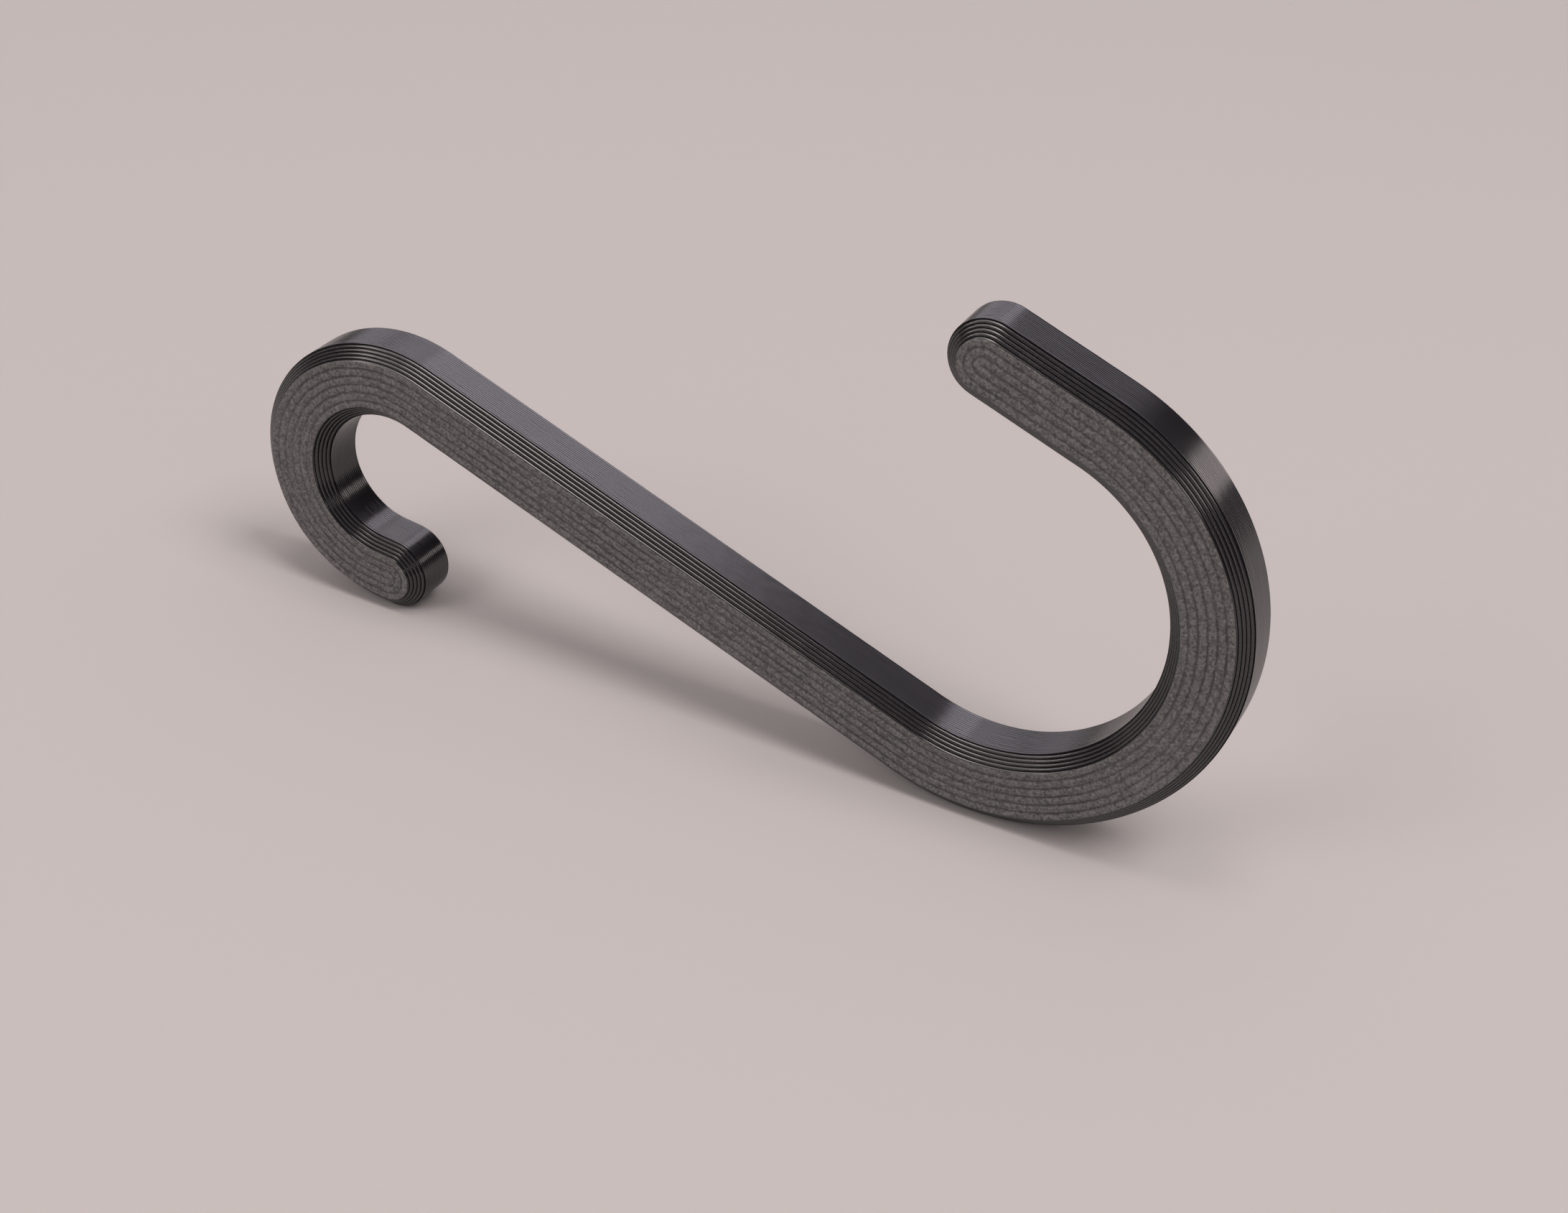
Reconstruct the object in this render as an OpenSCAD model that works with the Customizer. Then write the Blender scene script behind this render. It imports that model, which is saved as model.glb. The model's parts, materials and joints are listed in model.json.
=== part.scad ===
// S hook, made in one piece: a strip of constant section that turns into a small hook at
// one end of a straight shank and, the other way round, into a large hook at the other end.
// The long edges of both faces are chamfered, and the chamfer runs on round the two ends.
// The hook stands on its edge: the S lies in the XZ plane with its faces towards -Y and +Y,
// +Z is up, and it touches z = 0 under the large bend and under the small hook's end.

/* [Strip] */
// Width of the strip, measured across the S (mm)
strip_width = 5.5; // [3:0.1:9]
// Thickness of the strip, from face to face (mm)
strip_thickness = 5; // [3:0.1:10]
// Chamfer along the edges of both faces (mm)
edge_chamfer = 1; // [0.2:0.1:1.4]

/* [Shank] */
// Length of the straight shank between the two bends (mm)
shank_length = 42; // [30:1:120]

/* [Small hook] */
// Inside diameter of the small bend (mm)
small_inside_diameter = 10; // [8:0.5:20]
// Angle that the small bend turns through (degrees)
small_turn = 193.5; // [170:0.5:210]
// Straight stretch from the small bend to the rounded end (mm)
small_end_length = 1.3; // [0.4:0.1:4]

/* [Large hook] */
// Inside diameter of the large bend (mm)
large_inside_diameter = 23; // [15:0.5:40]
// Angle that the large bend turns through (degrees)
large_turn = 180; // [150:1:200]
// Straight stretch from the large bend to the rounded end (mm)
large_end_length = 8; // [1:0.1:20]

/* [Hidden] */
$fn = 96;

// Angle by which a bend runs over before it is trimmed
bend_overrun = 8;

// Radii of the bends, along the strip's middle and along its outside
small_radius = (small_inside_diameter + strip_width) / 2;
large_radius = (large_inside_diameter + strip_width) / 2;
small_outside_radius = small_radius + strip_width / 2;
large_outside_radius = large_radius + strip_width / 2;

// Places in the plane of the S, with the shank along +X from the end of the small bend
small_centre = [0, -small_radius];
large_centre = [shank_length, large_radius];
small_end = small_centre
    + small_radius * [-sin(small_turn), cos(small_turn)]
    - small_end_length * [cos(small_turn), sin(small_turn)];

// Lean of the shank that brings two circles down to one level: the large bend's outside and
// a circle whose outside radius is smaller by radius_step
function lean_on(centre, radius_step) =
    let (reach = centre - large_centre)
    90 + atan2(reach.y, reach.x) + acos(radius_step / norm(reach));

// The hook stands on its small bend where that reaches far enough round, or else on its end
lean_on_bend = lean_on(small_centre, large_radius - small_radius);
lean_on_end = lean_on(small_end, large_radius);
rest_lean = lean_on_bend <= small_turn - 180 ? lean_on_bend : lean_on_end;

// Places along the length once the hook leans, measured from the large bend's centre
small_centre_x = (small_centre - large_centre) * [cos(rest_lean), sin(rest_lean)];
left_x = small_centre_x - small_outside_radius;
right_x = large_outside_radius;

// Section of the strip: its width along X, its thickness along Y, the four corners cut off
module strip_section() {
    half_width = strip_width / 2;
    half_thickness = strip_thickness / 2;
    polygon([
        [half_width - edge_chamfer, -half_thickness],
        [half_width, edge_chamfer - half_thickness],
        [half_width, half_thickness - edge_chamfer],
        [half_width - edge_chamfer, half_thickness],
        [edge_chamfer - half_width, half_thickness],
        [-half_width, half_thickness - edge_chamfer],
        [-half_width, edge_chamfer - half_thickness],
        [edge_chamfer - half_width, -half_thickness]
    ]);
}

// Straight stretch along +X; what follows it starts at its end
module straight(length) {
    rotate([90, 0, 90]) linear_extrude(length) strip_section();
    translate([length, 0, 0]) children();
}

// Bend to the left of +X; what follows it starts at its end, in the direction it ends in.
// The arc is drawn back from there, runs over by a few degrees and is trimmed square at its start.
module bend(radius, turn) {
    translate([0, radius, 0]) difference() {
        rotate([0, 0, turn]) {
            mirror([1, 0, 0])
                rotate([0, 0, -90])
                rotate_extrude(angle = turn + bend_overrun)
                translate([radius, 0])
                strip_section();
            translate([0, -radius, 0]) children();
        }
        translate([0, -radius, 0]) trimmings();
    }
}

// Block that takes away all of the strip before x = 0
module trimmings() {
    translate([-2 * strip_width, -strip_width, -strip_thickness])
        cube([2 * strip_width, 2 * strip_width, 2 * strip_thickness]);
}

// Rounded end: half of the section turned through half a circle
module round_end() {
    rotate([0, 0, -90])
        rotate_extrude(angle = 180)
        intersection() {
            strip_section();
            translate([0, -strip_thickness / 2]) square([strip_width / 2, strip_thickness]);
        }
}

// Turns the flat S upright, leans it until it stands, and centres it over the origin
module stand_up() {
    translate([-(left_x + right_x) / 2, 0, large_outside_radius])
        rotate([90, 0, 0])
        rotate([0, 0, -rest_lean])
        translate([-large_centre.x, -large_centre.y, 0])
        children();
}

module s_hook() {
    color("#4a4b4e") stand_up() {
        straight(shank_length)
            bend(large_radius, large_turn)
            straight(large_end_length)
            round_end();
        rotate([0, 0, 180])
            bend(small_radius, small_turn)
            straight(small_end_length)
            round_end();
    }
}

s_hook();
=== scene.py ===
"""Printed S hook on a plain stage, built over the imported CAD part.

The hook is modelled the way it was printed: layers of one height make the stepped chamfers and
the finely ridged walls, and beads laid side by side make the two faces. One section of the strip
is drawn, swept along the S, rounded off at both ends and leaned until it stands.
"""

import json
import math

import bmesh
import bpy
from bpy.props import FloatProperty, FloatVectorProperty, IntProperty, PointerProperty
from mathutils import Matrix, Vector, noise


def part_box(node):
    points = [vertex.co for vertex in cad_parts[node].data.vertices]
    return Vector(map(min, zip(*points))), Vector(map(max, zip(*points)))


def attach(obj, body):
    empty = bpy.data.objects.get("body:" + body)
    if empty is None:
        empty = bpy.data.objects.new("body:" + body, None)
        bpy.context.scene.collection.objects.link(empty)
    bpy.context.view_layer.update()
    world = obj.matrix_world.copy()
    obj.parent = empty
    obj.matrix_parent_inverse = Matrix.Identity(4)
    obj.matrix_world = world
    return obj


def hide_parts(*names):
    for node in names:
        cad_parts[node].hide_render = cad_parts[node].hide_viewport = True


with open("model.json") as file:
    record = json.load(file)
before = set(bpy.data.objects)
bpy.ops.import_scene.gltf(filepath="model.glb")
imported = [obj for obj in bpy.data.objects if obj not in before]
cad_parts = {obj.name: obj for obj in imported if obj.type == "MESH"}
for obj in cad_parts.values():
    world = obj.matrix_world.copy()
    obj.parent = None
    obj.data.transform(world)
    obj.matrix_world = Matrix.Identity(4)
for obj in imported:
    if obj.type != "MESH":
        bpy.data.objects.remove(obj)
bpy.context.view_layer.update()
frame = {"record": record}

bl_info = {
    "name": "Printed S hook",
    "version": (1, 0, 0),
    "blender": (4, 5, 0),
    "location": "3D View > Sidebar > S hook",
    "description": "Builds a printed S hook with layer steps and face beads, and its stage",
    "category": "Add Mesh",
}

MM = 0.001
NODE = "s_hook"

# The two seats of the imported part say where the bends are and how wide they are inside
SEATS = {mount["name"]: mount for mount in frame["record"]["mounts"]}
SMALL_SEAT = SEATS["small_hook_seat"]
LARGE_SEAT = SEATS["large_hook_seat"]
LARGE_CENTRE = Vector(LARGE_SEAT["pos_m"])
SEAT_REACH = LARGE_CENTRE - Vector(SMALL_SEAT["pos_m"])
NODE_LOW, NODE_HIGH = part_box(NODE)

# Bends turn about the axis through the strip's thickness, anticlockwise when seen from the front
TURN_AXIS = Vector((0, -1, 0))
# Roundings of the section turn about the axis along the strip
SECTION_AXIS = Vector((-1, 0, 0))
MERGE_DISTANCE = 0.0005 * MM

# Segments in the rounded nose of a chamfer step, and in the bulge of a wall layer
NOSE_SEGMENTS = 5
BULGE_SEGMENTS = 2
# How much closer together the rings of the round ends lie
END_FINENESS = 1.3
SHARP_ANGLE = math.radians(35)

# Slack for comparing depths in the section, and the value above which a mark counts as set
DEPTH_SLACK = 0.01 * MM
MARK_SET = 0.5
# The top part of a step's nose is its tread, nearly as glossy as the walls
TREAD_SHARE = 0.35
TREAD_DULLNESS = 0.15
# Row numbers on the faces and on the walls lie about these, with either sign, and never meet
FACE_ROWS = 20
WALL_ROWS = 60
# Shift of the noise from one row of the print to the next
ROW_SHIFT = Vector((3.7, 1.9, 5.3))
# Grooves fill and wander in a quicker rhythm than lines waver, and fill at most by this share
FILL_PACE = 1.7
FILL_SHARE = 0.6
WANDER_PACE = 2
# The wander's noise starts from this seed, so that every run gives the same hook
WANDER_SEED = 1

# Noise textures keep mostly between these two values
NOISE_LOW = 0.3
NOISE_HIGH = 0.7
NOISE_DETAIL = 2.0
NOISE_ROUGHNESS = 0.6
# Darkest and lightest shade of a colour, as shares of it
FACE_SHADES = (0.4, 1.7)
WALL_SHADES = (0.85, 1.15)
# Sizes of the coarser textures, as multiples of the grain's size
MOTTLE_SIZE = 20
FADING_SIZE = 50
BLOTCH_SIZE = 1.5
# Blotches added to a groove's mark make the edges of its painted shade ragged, and the painted
# shade fades to a part of its darkness
BLOTCH_WEIGHT = 1.5
RAGGED_START = 1.0
RAGGED_FULL = 1.65
FADED_SHARE = 0.4
GRAIN_STRENGTH = 0.6
PLASTIC_SPECULAR = 0.6
FLOOR_ROUGHNESS = 0.9
FLOOR_SPECULAR = 0.1

# Colours of the lamps, of the panels above and round the front, and of those at the back
PALE_LIGHT = (1.0, 0.885, 0.875)
WARM_LIGHT = (1.0, 0.885, 0.855)
COOL_LIGHT = (1.0, 0.93, 1.02)
# Point of the hook that the lights face, in millimetres
HOOK_MIDDLE = (0, 0, 18)
SENSOR_WIDTH_MM = 36


class HookSizes(bpy.types.PropertyGroup):
    """Sizes of the strip, its bends and its print lines."""

    strip_width: FloatProperty(
        name="Strip width", description="Width of the strip across the S",
        default=5.5 * MM, unit="LENGTH")
    strip_thickness: FloatProperty(
        name="Strip thickness", description="Thickness of the strip from face to face",
        default=NODE_HIGH.y - NODE_LOW.y, unit="LENGTH")
    edge_chamfer: FloatProperty(
        name="Edge chamfer", description="Chamfer along the edges of both faces",
        default=1 * MM, unit="LENGTH")
    small_inside_radius: FloatProperty(
        name="Small inside radius", description="Inside radius of the small hook's bend",
        default=SMALL_SEAT["dims"]["r_mm"] * MM, unit="LENGTH")
    small_turn: FloatProperty(
        name="Small turn", description="Angle that the small bend turns through",
        default=math.radians(193.5), unit="ROTATION")
    small_end_length: FloatProperty(
        name="Small end length", description="Straight stretch before the small hook's round end",
        default=1.3 * MM, unit="LENGTH")
    large_inside_radius: FloatProperty(
        name="Large inside radius", description="Inside radius of the large hook's bend",
        default=LARGE_SEAT["dims"]["r_mm"] * MM, unit="LENGTH")
    large_turn: FloatProperty(
        name="Large turn", description="Angle that the large bend turns through",
        default=math.radians(180), unit="ROTATION")
    large_end_length: FloatProperty(
        name="Large end length", description="Straight stretch before the large hook's round end",
        default=8 * MM, unit="LENGTH")
    layer_height: FloatProperty(
        name="Layer height", description="Height of one printed layer",
        default=0.2 * MM, unit="LENGTH")
    step_radius: FloatProperty(
        name="Step radius", description="Radius of the rounded edge of each chamfer step",
        default=0.165 * MM, unit="LENGTH")
    step_notch: FloatProperty(
        name="Step notch", description="Depth and width of the notch between a step and the next",
        default=0.07 * MM, unit="LENGTH")
    wall_bulge: FloatProperty(
        name="Wall bulge", description="How far each layer bulges out of the side walls",
        default=0.018 * MM, unit="LENGTH")
    beads_per_side: IntProperty(
        name="Beads per side", description="Beads on a face from its middle to its edge",
        default=3)
    groove_depth: FloatProperty(
        name="Groove depth", description="Depth of the grooves between the beads of a face",
        default=0.07 * MM, unit="LENGTH")
    groove_half_width: FloatProperty(
        name="Groove half width",
        description="Distance from a groove's bottom to the bead's shoulder",
        default=0.16 * MM, unit="LENGTH")
    shoulder_drop: FloatProperty(
        name="Shoulder drop", description="How far a bead's shoulders lie below its crest",
        default=0.014 * MM, unit="LENGTH")
    ring_spacing: FloatProperty(
        name="Ring spacing", description="Distance between the rings of the mesh along the strip",
        default=0.4 * MM, unit="LENGTH")
    waver: FloatProperty(
        name="Waver", description="How far the print lines waver in and out",
        default=0.014 * MM, unit="LENGTH")
    waver_length: FloatProperty(
        name="Waver length", description="Distance along the strip over which a print line wavers",
        default=0.9 * MM, unit="LENGTH")
    groove_wander: FloatProperty(
        name="Groove wander",
        description="How far the beads and grooves of the faces wander sideways",
        default=0.06 * MM, unit="LENGTH")


class PlasticFinish(bpy.types.PropertyGroup):
    """Colours and gloss of the printed plastic, and the shade painted into its grooves."""

    wall_colour: FloatVectorProperty(
        name="Wall colour", description="Colour of the side walls and the chamfer steps",
        default=(0.012, 0.012, 0.014), subtype="COLOR", size=3)
    face_colour: FloatVectorProperty(
        name="Face colour", description="Colour of the dull faces",
        default=(0.087, 0.087, 0.086), subtype="COLOR", size=3)
    # Painted shade: a dark colour that stands in for the shade at the bottom of the grooves
    # between the beads
    painted_groove_shade: FloatVectorProperty(
        name="Painted groove shade", description="Painted shade at the bottom of the grooves between the beads",
        default=(0.022, 0.022, 0.022), subtype="COLOR", size=3)
    wall_roughness: FloatProperty(
        name="Wall roughness", description="Roughness of the satin walls",
        default=0.17, subtype="FACTOR")
    face_roughness: FloatProperty(
        name="Face roughness", description="Roughness of the dull faces",
        default=0.62, subtype="FACTOR")
    grain_size: FloatProperty(
        name="Grain size", description="Size of the fine grain on the faces",
        default=0.17 * MM, unit="LENGTH")
    grain_height: FloatProperty(
        name="Grain height", description="Height of the fine grain on the faces",
        default=0.05 * MM, unit="LENGTH")


class StageLook(bpy.types.PropertyGroup):
    """Floor, light and camera."""

    floor_colour: FloatVectorProperty(
        name="Floor colour", description="Colour of the pale floor",
        default=(0.375, 0.37, 0.364), subtype="COLOR", size=3)
    floor_half_size: FloatProperty(
        name="Floor half size", description="Half of the floor's side",
        default=3.0, unit="LENGTH")
    room_light: FloatProperty(
        name="Room light", description="Strength of the even light from all round",
        default=0.64)
    camera_place: FloatVectorProperty(
        name="Camera place", description="Place of the camera",
        default=(60.86 * MM, -123.78 * MM, 96.69 * MM), subtype="TRANSLATION", size=3)
    camera_heading: FloatProperty(
        name="Camera heading", description="Turn of the camera from looking along +Y",
        default=math.radians(24.396), unit="ROTATION")
    camera_elevation: FloatProperty(
        name="Camera elevation", description="Angle at which the camera looks down",
        default=math.radians(32.532), unit="ROTATION")
    camera_roll: FloatProperty(
        name="Camera roll", description="Roll of the camera",
        default=math.radians(4.865), unit="ROTATION")
    camera_lens: FloatProperty(
        name="Camera lens", description="Focal length on a sensor 36 mm wide, in millimetres",
        default=54.25, unit="CAMERA")


def of_kind(geometry, kind):
    """Those elements of a mesh that are of one kind: vertices or edges."""
    return [item for item in geometry if isinstance(item, kind)]


def run_to(bm, vert, y, z):
    """Draws the outline on from a vertex to a place in the plane of the section."""
    new_vert = bmesh.ops.extrude_vert_indiv(bm, verts=[vert])["verts"][0]
    new_vert.co = (0, y, z)
    return new_vert


def round_over(bm, vert, y, z, angle, segments):
    """Draws the outline on from a vertex along an arc about the given centre."""
    spun = bmesh.ops.spin(
        bm, geom=[vert], cent=(0, y, z), axis=SECTION_AXIS, angle=angle, steps=segments)
    return of_kind(spun["geom_last"], bmesh.types.BMVert)[0]


def draw_face_beads(bm, vert, sizes, face_half):
    """Draws the beads of half a face, from the groove in its middle to the crest of the last."""
    crest = -sizes.strip_thickness / 2
    shoulder = crest + sizes.shoulder_drop
    bead_width = face_half / sizes.beads_per_side
    for bead in range(sizes.beads_per_side):
        start = bead * bead_width
        if bead > 0:
            vert = run_to(bm, vert, crest + sizes.groove_depth, start)
        vert = run_to(bm, vert, shoulder, start + sizes.groove_half_width)
        vert = run_to(bm, vert, crest, start + bead_width / 2)
        if bead < sizes.beads_per_side - 1:
            vert = run_to(bm, vert, shoulder, start + bead_width - sizes.groove_half_width)
    return vert


def draw_chamfer_steps(bm, vert, sizes, face_half, step_count):
    """Draws the steps of one chamfer, each a layer high, out to the side wall."""
    ledge = sizes.edge_chamfer / step_count
    radius = sizes.step_radius
    for step in range(step_count):
        edge = face_half + step * ledge
        top = step * sizes.layer_height - sizes.strip_thickness / 2
        foot = top + sizes.layer_height + sizes.step_notch
        vert = run_to(bm, vert, top, edge - radius)
        vert = round_over(
            bm, vert, top + radius, edge - radius, math.radians(90), NOSE_SEGMENTS)
        vert = run_to(bm, vert, foot, edge - sizes.step_notch)
    return vert


def draw_wall_layers(bm, vert, sizes, step_count):
    """Draws the bulging layers of a side wall, from the chamfer to the middle of the thickness.

    The last layer lies astride the middle, so only half of it is drawn.
    """
    half_width = sizes.strip_width / 2
    half_layer = sizes.layer_height / 2
    radius = (half_layer ** 2 + sizes.wall_bulge ** 2) / (2 * sizes.wall_bulge)
    half_angle = math.asin(half_layer / radius)
    top = step_count * sizes.layer_height - sizes.strip_thickness / 2
    vert = run_to(bm, vert, top, half_width - sizes.wall_bulge)
    while top + sizes.layer_height < half_layer / 2:
        vert = round_over(
            bm, vert, top + half_layer, half_width - radius, 2 * half_angle, BULGE_SEGMENTS)
        top += sizes.layer_height
    return round_over(bm, vert, 0, half_width - radius, half_angle, BULGE_SEGMENTS // 2)


def mark_print_lines(bm, sizes, face_half):
    """Marks each point of the section: how dull it is, its row, and any groove or valley.

    Grooves lie between the beads of a face, and valleys between the layers of a wall.
    """
    dull = bm.verts.layers.float.new("dull")
    groove = bm.verts.layers.float.new("groove")
    valley = bm.verts.layers.float.new("valley")
    row = bm.verts.layers.float.new("row")
    face_edge = face_half - sizes.step_radius / 2
    valley_line = sizes.strip_width / 2 - sizes.wall_bulge
    bead_width = face_half / sizes.beads_per_side
    for vert in bm.verts:
        depth = sizes.strip_thickness / 2 - abs(vert.co.y)
        across = abs(vert.co.z)
        on_face = depth < sizes.groove_depth + DEPTH_SLACK and across < face_edge
        in_groove = on_face and depth > sizes.groove_depth - DEPTH_SLACK
        into_layer = (depth + DEPTH_SLACK) % sizes.layer_height
        on_tread = depth < sizes.edge_chamfer and into_layer < sizes.step_radius * TREAD_SHARE
        vert[dull] = 1.0 if on_face else TREAD_DULLNESS if on_tread else 0.0
        vert[groove] = 1.0 if in_groove else 0.0
        vert[valley] = 1.0 if abs(across - valley_line) < sizes.wall_bulge / 2 else 0.0
        if on_face:
            half_beads = round(2 * vert.co.z / bead_width)
            vert[row] = half_beads + math.copysign(FACE_ROWS, vert.co.y)
        else:
            layers = math.floor(vert.co.y / sizes.layer_height)
            vert[row] = layers + math.copysign(WALL_ROWS, vert.co.z)


def draw_section(bm, sizes):
    """Draws the strip's section in the plane x = 0: a quarter of it, mirrored twice."""
    step_count = round(sizes.edge_chamfer / sizes.layer_height)
    half_ledge = sizes.edge_chamfer / step_count / 2
    face_half = sizes.strip_width / 2 - sizes.edge_chamfer + half_ledge
    vert = bm.verts.new((0, sizes.groove_depth - sizes.strip_thickness / 2, 0))
    vert = draw_face_beads(bm, vert, sizes, face_half)
    vert = draw_chamfer_steps(bm, vert, sizes, face_half, step_count)
    draw_wall_layers(bm, vert, sizes, step_count)
    for axis in ("Y", "Z"):
        bmesh.ops.mirror(
            bm, geom=bm.verts[:] + bm.edges[:], matrix=Matrix.Identity(4),
            merge_dist=MERGE_DISTANCE, axis=axis)
    mark_print_lines(bm, sizes, face_half)
    return bm.edges[:]


def sweep_straight(bm, edges, direction, length, spacing):
    """Sweeps a ring straight on and returns the last ring's edges."""
    count = max(1, round(length / spacing))
    for _ in range(count):
        swept = bmesh.ops.extrude_edge_only(bm, edges=edges)["geom"]
        verts = set(of_kind(swept, bmesh.types.BMVert))
        bmesh.ops.translate(bm, verts=list(verts), vec=direction * (length / count))
        edges = [
            edge for edge in of_kind(swept, bmesh.types.BMEdge) if set(edge.verts) <= verts]
    return edges


def sweep_bend(bm, edges, centre, radius, turn, spacing):
    """Sweeps a ring round a bend and returns the last ring's edges."""
    count = max(2, round(radius * turn / spacing))
    verts = list(dict.fromkeys(vert for edge in edges for vert in edge.verts))
    spun = bmesh.ops.spin(
        bm, geom=edges + verts, cent=centre, axis=TURN_AXIS, angle=turn, steps=count)
    return of_kind(spun["geom_last"], bmesh.types.BMEdge)


def round_off(bm, edges, centre, direction, sizes):
    """Rounds off an end: the half of the last ring on the right turns through half a circle."""
    left = TURN_AXIS.cross(direction)
    half = [
        edge for edge in edges
        if all((vert.co - centre).dot(left) < MERGE_DISTANCE for vert in edge.verts)]
    spacing = sizes.ring_spacing / END_FINENESS
    sweep_bend(bm, half, centre, sizes.strip_width / 2, math.pi, spacing)


def sweep_hook(bm, edges, sizes, start, heading, radius, turn, end_length):
    """Sweeps one hook from an end of the shank: its bend, its straight end and its round end."""
    centre = start + TURN_AXIS.cross(heading) * radius
    edges = sweep_bend(bm, edges, centre, radius, turn, sizes.ring_spacing)
    rotation = Matrix.Rotation(turn, 3, TURN_AXIS)
    direction = rotation @ heading
    edges = sweep_straight(bm, edges, direction, end_length, sizes.ring_spacing)
    tip = centre + rotation @ (start - centre) + direction * end_length
    round_off(bm, edges, tip, direction, sizes)


def waver_prints(bm, sizes):
    """Makes the print lines waver, the beads of the faces wander and their grooves partly fill."""
    dull = bm.verts.layers.float["dull"]
    groove = bm.verts.layers.float["groove"]
    row = bm.verts.layers.float["row"]
    noise.seed_set(WANDER_SEED)
    bm.normal_update()
    for vert in bm.verts:
        spot = vert.co / sizes.waver_length
        place = spot + ROW_SHIFT * vert[row]
        if vert[groove] > MARK_SET:
            fill = (1 + noise.noise(place * FILL_PACE)) / 2
            outward = sizes.groove_depth * FILL_SHARE * fill ** 2
        else:
            outward = sizes.waver * (noise.noise(place) / 2 - 1)
        move = vert.normal * outward
        if vert[dull] > MARK_SET:
            sideways = noise.noise_vector(spot * WANDER_PACE)
            move += Vector((sideways.x, 0, sideways.z)) * sizes.groove_wander
        vert.co += move


def sharpen_valleys(bm):
    """Shades the layers and beads round, with sharp lines where one meets the next."""
    valley = bm.verts.layers.float["valley"]
    for face in bm.faces:
        face.smooth = True
    for edge in bm.edges:
        between_layers = all(vert[valley] > MARK_SET for vert in edge.verts)
        edge.smooth = not between_layers and edge.calc_face_angle(0) < SHARP_ANGLE


def bend_radii(sizes):
    """Radii of the small and the large bend along the middle of the strip."""
    half_width = sizes.strip_width / 2
    return sizes.small_inside_radius + half_width, sizes.large_inside_radius + half_width


def stand_up(bm, sizes, shank_length):
    """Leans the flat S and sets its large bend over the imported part's large seat."""
    small_radius, large_radius = bend_radii(sizes)
    flat_slope = math.atan2(small_radius + large_radius, shank_length)
    lean = flat_slope - math.atan2(SEAT_REACH.z, SEAT_REACH.x)
    flat_centre = Vector((shank_length, 0, large_radius))
    bmesh.ops.rotate(
        bm, verts=bm.verts, cent=flat_centre, matrix=Matrix.Rotation(lean, 3, "Y"))
    bmesh.ops.translate(bm, verts=bm.verts, vec=LARGE_CENTRE - flat_centre)


def build_hook_mesh(sizes):
    """Builds the whole strip as one closed mesh."""
    small_radius, large_radius = bend_radii(sizes)
    shank_length = math.sqrt(SEAT_REACH.length_squared - (small_radius + large_radius) ** 2)
    along = Vector((1, 0, 0))
    bm = bmesh.new()
    first_ring = draw_section(bm, sizes)
    last_ring = sweep_straight(bm, first_ring, along, shank_length, sizes.ring_spacing)
    sweep_hook(
        bm, last_ring, sizes, along * shank_length, along,
        large_radius, sizes.large_turn, sizes.large_end_length)
    sweep_hook(
        bm, first_ring, sizes, Vector((0, 0, 0)), -along,
        small_radius, sizes.small_turn, sizes.small_end_length)
    bmesh.ops.remove_doubles(bm, verts=bm.verts, dist=MERGE_DISTANCE)
    bmesh.ops.recalc_face_normals(bm, faces=bm.faces)
    waver_prints(bm, sizes)
    stand_up(bm, sizes, shank_length)
    sharpen_valleys(bm)
    mesh = bpy.data.meshes.new("hook_print")
    bm.to_mesh(mesh)
    bm.free()
    return mesh


class NodeKit:
    """Adds nodes to a material and wires them up."""

    def __init__(self, material):
        """Starts from the material's own shader."""
        material.use_nodes = True
        self.tree = material.node_tree
        self.shader = self.tree.nodes["Principled BSDF"]

    def add(self, kind, inputs=None, **settings):
        """Adds a node with its settings and inputs."""
        node = self.tree.nodes.new(kind)
        for name, value in settings.items():
            setattr(node, name, value)
        for name, value in (inputs or {}).items():
            self.feed(node.inputs[name], value)
        return node

    def feed(self, socket, value):
        """Links a socket to another node's output, or gives it a constant value."""
        if isinstance(value, bpy.types.NodeSocket):
            self.tree.links.new(value, socket)
        else:
            socket.default_value = value

    def set_input(self, name, value):
        """Feeds an input of the material's shader."""
        self.feed(self.shader.inputs[name], value)

    def attribute(self, name):
        """A mark that the mesh carries on its points."""
        return self.add("ShaderNodeAttribute", attribute_name=name).outputs["Fac"]

    def grain(self, size):
        """Noise of the given size, fixed to the object."""
        place = self.add("ShaderNodeTexCoord").outputs["Object"]
        texture = self.add(
            "ShaderNodeTexNoise",
            {"Vector": place, "Scale": 1 / size, "Detail": NOISE_DETAIL,
             "Roughness": NOISE_ROUGHNESS})
        return texture.outputs["Fac"]

    def remap(self, value, low, high, to_low, to_high):
        """A value moved from one range to another and kept inside it."""
        node = self.add(
            "ShaderNodeMapRange",
            {"Value": value, "From Min": low, "From Max": high,
             "To Min": to_low, "To Max": to_high})
        return node.outputs["Result"]

    def spread(self, texture, to_low, to_high):
        """Noise spread over a range."""
        return self.remap(texture, NOISE_LOW, NOISE_HIGH, to_low, to_high)

    def times(self, first, second):
        """Product of two values."""
        return self.add("ShaderNodeMath", {0: first, 1: second}, operation="MULTIPLY").outputs[0]

    def plus(self, first, second):
        """Sum of two values."""
        return self.add("ShaderNodeMath", {0: first, 1: second}, operation="ADD").outputs[0]

    def blend_colour(self, share, first, second):
        """Blend of two colours; the node has a numbered set of sockets for each type of data."""
        node = self.add("ShaderNodeMix", {0: share}, data_type="RGBA")
        self.feed(node.inputs[6], first)
        self.feed(node.inputs[7], second)
        return node.outputs[2]

    def vary(self, texture, colour, shades):
        """A colour that noise varies between a darker and a lighter shade."""
        darkest, lightest = (shade(colour, share) for share in shades)
        return self.blend_colour(self.spread(texture, 0.0, 1.0), darkest, lightest)


def opaque(colour):
    """A colour with full alpha, as a node socket takes it."""
    return (colour[0], colour[1], colour[2], 1.0)


def shade(colour, share):
    """A lighter or darker shade of a colour."""
    return opaque([channel * share for channel in colour])


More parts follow.
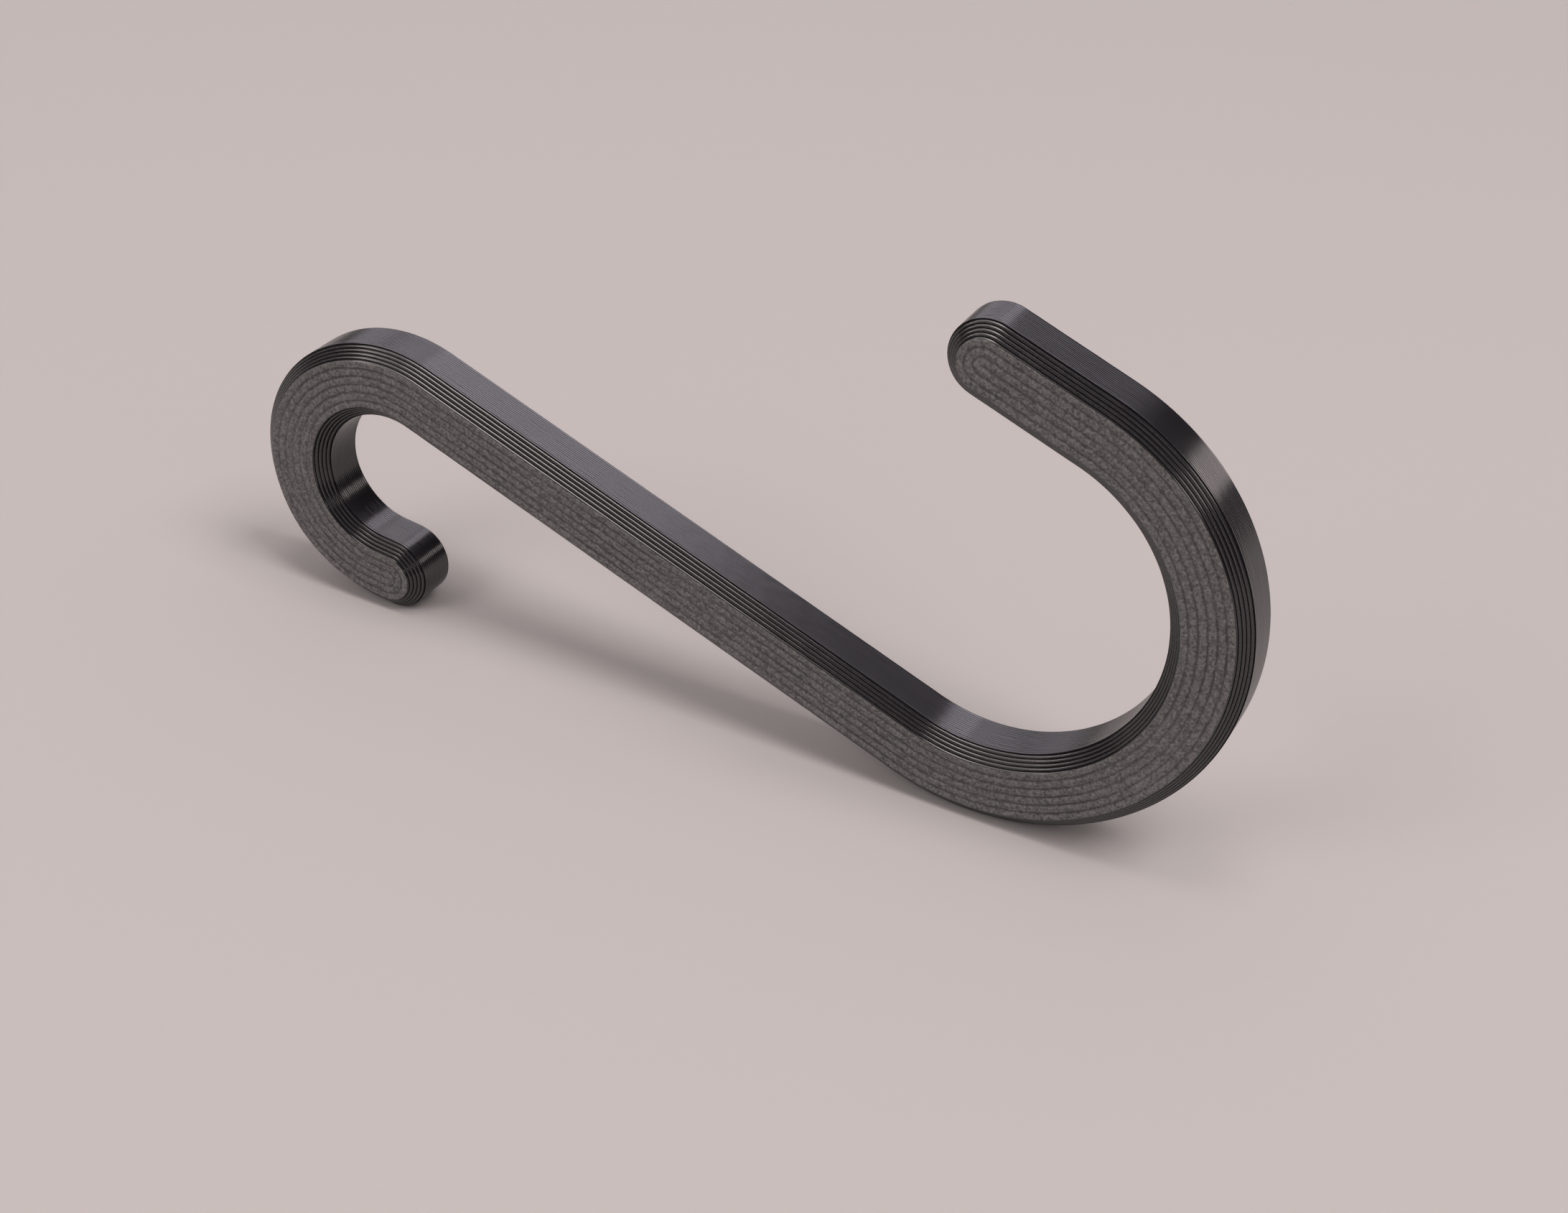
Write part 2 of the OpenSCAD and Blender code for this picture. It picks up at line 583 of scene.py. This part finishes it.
def printed_plastic(finish):
    """Charcoal plastic: satin walls, dull grained faces and painted shade in the grooves between
    beads.
    """
    material = bpy.data.materials.new("printed_plastic")
    kit = NodeKit(material)
    dull = kit.attribute("dull")
    groove = kit.attribute("groove")
    grain = kit.grain(finish.grain_size)
    mottle = kit.grain(finish.grain_size * MOTTLE_SIZE)
    fading = kit.grain(finish.grain_size * FADING_SIZE)
    blotches = kit.grain(finish.grain_size * BLOTCH_SIZE)
    wall_tone = kit.vary(mottle, finish.wall_colour, WALL_SHADES)
    face_tone = kit.vary(grain, finish.face_colour, FACE_SHADES)
    plain = kit.blend_colour(dull, wall_tone, face_tone)
    # Painted shade: the groove mark, with ragged and fading edges, darkens the base colour towards
    # the groove shade
    blotted = kit.plus(groove, kit.times(blotches, BLOTCH_WEIGHT))
    ragged = kit.remap(blotted, RAGGED_START, RAGGED_FULL, 0.0, 1.0)
    shadow = kit.times(ragged, kit.spread(fading, FADED_SHARE, 1.0))
    kit.set_input("Base Color", kit.blend_colour(shadow, plain, opaque(finish.painted_groove_shade)))
    kit.set_input(
        "Roughness", kit.remap(dull, 0.0, 1.0, finish.wall_roughness, finish.face_roughness))
    kit.set_input("Specular IOR Level", PLASTIC_SPECULAR)
    bump = kit.add(
        "ShaderNodeBump",
        {"Height": grain, "Strength": kit.remap(dull, 0.0, 1.0, 0.0, GRAIN_STRENGTH),
         "Distance": finish.grain_height})
    kit.set_input("Normal", bump.outputs["Normal"])
    return material


def pale_floor(look):
    """Dull pale floor."""
    material = bpy.data.materials.new("pale_floor")
    kit = NodeKit(material)
    kit.set_input("Base Color", opaque(look.floor_colour))
    kit.set_input("Roughness", FLOOR_ROUGHNESS)
    kit.set_input("Specular IOR Level", FLOOR_SPECULAR)
    return material


def new_object(name, data):
    """Puts a new object into the scene."""
    item = bpy.data.objects.new(name, data)
    bpy.context.scene.collection.objects.link(item)
    return item


def add_floor(look):
    """Lays the floor under the hook."""
    bm = bmesh.new()
    bmesh.ops.create_grid(bm, x_segments=1, y_segments=1, size=look.floor_half_size)
    mesh = bpy.data.meshes.new("floor")
    bm.to_mesh(mesh)
    bm.free()
    mesh.materials.append(pale_floor(look))
    new_object("floor", mesh)


def add_light(name, place, size, power, colour, aim=HOOK_MIDDLE, along=None):
    """Adds a soft rectangular light that faces a point of the hook; lengths in millimetres.

    Its first side lies level, or follows the direction given as along.
    """
    light = bpy.data.lights.new(name, "AREA")
    light.shape = "RECTANGLE"
    light.size = size[0] * MM
    light.size_y = size[1] * MM
    light.energy = power
    light.color = colour
    away = (Vector(place) - Vector(aim)).normalized()
    side = Vector(along) if along else Vector((0, 0, 1)).cross(away)
    side = (side - away * side.dot(away)).normalized()
    turn = Matrix((side, away.cross(side), away)).transposed()
    stand = new_object(name, light)
    stand.matrix_world = Matrix.Translation(Vector(place) * MM) @ turn.to_4x4()
    return stand


def add_lamp(name, place, size, power):
    """Adds a lamp that lights the floor and the dull faces and doesn't show in the gloss."""
    add_light(name, place, size, power, PALE_LIGHT).visible_glossy = False


def add_panel(name, place, size, power, colour, **bearing):
    """Adds a panel that only shows in the plastic's gloss."""
    add_light(name, place, size, power, colour, **bearing).visible_diffuse = False


def add_lights():
    """Lights the stage with soft lamps, and sets out the panels that the plastic mirrors."""
    level = (1, 0, 0)
    add_light("overhead", (-10, -60, 615), (150, 150), 0.6, PALE_LIGHT, along=level)
    add_lamp("right_lamp", (700, -140, 1300), (700, 700), 15.0)
    add_lamp("left_lamp", (-505, -875, 818), (600, 600), 5.0)
    add_panel("ceiling", (-35, 20, 640), (330, 490), 3.2, WARM_LIGHT, along=level)
    add_panel("left_high", (-391, 14, 580), (783, 401), 2.1, WARM_LIGHT)
    add_panel("front", (-200, -350, 330), (300, 300), 0.2, WARM_LIGHT)
    add_panel("front_left", (-150, -110, 110), (60, 60), 0.12, WARM_LIGHT)
    add_panel("back_high", (-45, 861, 1045), (335, 425), 1.75, COOL_LIGHT)
    add_panel("back_left", (-431, 747, 975), (527, 408), 1.45, COOL_LIGHT)
    add_panel("back_low", (-427, 1056, 420), (1316, 560), 2.4, COOL_LIGHT)
    add_panel(
        "right", (111, 37, 82), (164, 27), 0.046, WARM_LIGHT,
        aim=(32, 0, 29), along=(-75, 257, -70))


def add_room_light(look):
    """Adds even light from all round, which doesn't show in the gloss."""
    world = bpy.data.worlds.new("room")
    world.use_nodes = True
    background = world.node_tree.nodes["Background"]
    background.inputs["Color"].default_value = opaque(PALE_LIGHT)
    background.inputs["Strength"].default_value = look.room_light
    bpy.context.scene.world = world
    world.cycles_visibility.glossy = False


def add_camera(look):
    """Sets the camera at the viewing angle."""
    camera = bpy.data.cameras.new("camera")
    camera.sensor_fit = "HORIZONTAL"
    camera.sensor_width = SENSOR_WIDTH_MM
    camera.lens = look.camera_lens
    camera.clip_start = 1 * MM
    stand = new_object("camera", camera)
    turn = (
        Matrix.Rotation(look.camera_heading, 4, "Z")
        @ Matrix.Rotation(math.pi / 2 - look.camera_elevation, 4, "X")
        @ Matrix.Rotation(look.camera_roll, 4, "Z"))
    stand.matrix_world = Matrix.Translation(look.camera_place) @ turn
    bpy.context.scene.camera = stand


class S_HOOK_OT_print(bpy.types.Operator):
    """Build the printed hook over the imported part"""

    bl_idname = "s_hook.build_print"
    bl_label = "Build printed hook"

    def execute(self, context):
        hook = new_object("hook_print", build_hook_mesh(context.scene.hook_sizes))
        hook.data.materials.append(printed_plastic(context.scene.plastic_finish))
        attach(hook, "root")
        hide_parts(NODE)
        return {"FINISHED"}


class S_HOOK_OT_stage(bpy.types.Operator):
    """Set up the floor, the lights and the camera"""

    bl_idname = "s_hook.set_stage"
    bl_label = "Set the stage"

    def execute(self, context):
        look = context.scene.stage_look
        add_floor(look)
        add_lights()
        add_room_light(look)
        add_camera(look)
        context.scene.view_settings.view_transform = "Standard"
        return {"FINISHED"}


class VIEW3D_PT_s_hook(bpy.types.Panel):
    """Sidebar panel with the hook's sizes, its finish and its stage"""

    bl_label = "S hook"
    bl_space_type = "VIEW_3D"
    bl_region_type = "UI"
    bl_category = "S hook"

    def draw(self, context):
        scene = context.scene
        for group in (scene.hook_sizes, scene.plastic_finish, scene.stage_look):
            column = self.layout.column()
            for name in group.__annotations__:
                column.prop(group, name)
        self.layout.operator(S_HOOK_OT_print.bl_idname)
        self.layout.operator(S_HOOK_OT_stage.bl_idname)


CLASSES = (
    HookSizes, PlasticFinish, StageLook, S_HOOK_OT_print, S_HOOK_OT_stage, VIEW3D_PT_s_hook)


def register():
    for item in CLASSES:
        bpy.utils.register_class(item)
    bpy.types.Scene.hook_sizes = PointerProperty(type=HookSizes)
    bpy.types.Scene.plastic_finish = PointerProperty(type=PlasticFinish)
    bpy.types.Scene.stage_look = PointerProperty(type=StageLook)


def unregister():
    del bpy.types.Scene.stage_look
    del bpy.types.Scene.plastic_finish
    del bpy.types.Scene.hook_sizes
    for item in reversed(CLASSES):
        bpy.utils.unregister_class(item)


def main():
    register()
    bpy.ops.s_hook.build_print()
    bpy.ops.s_hook.set_stage()


if __name__ == "__main__":
    main()
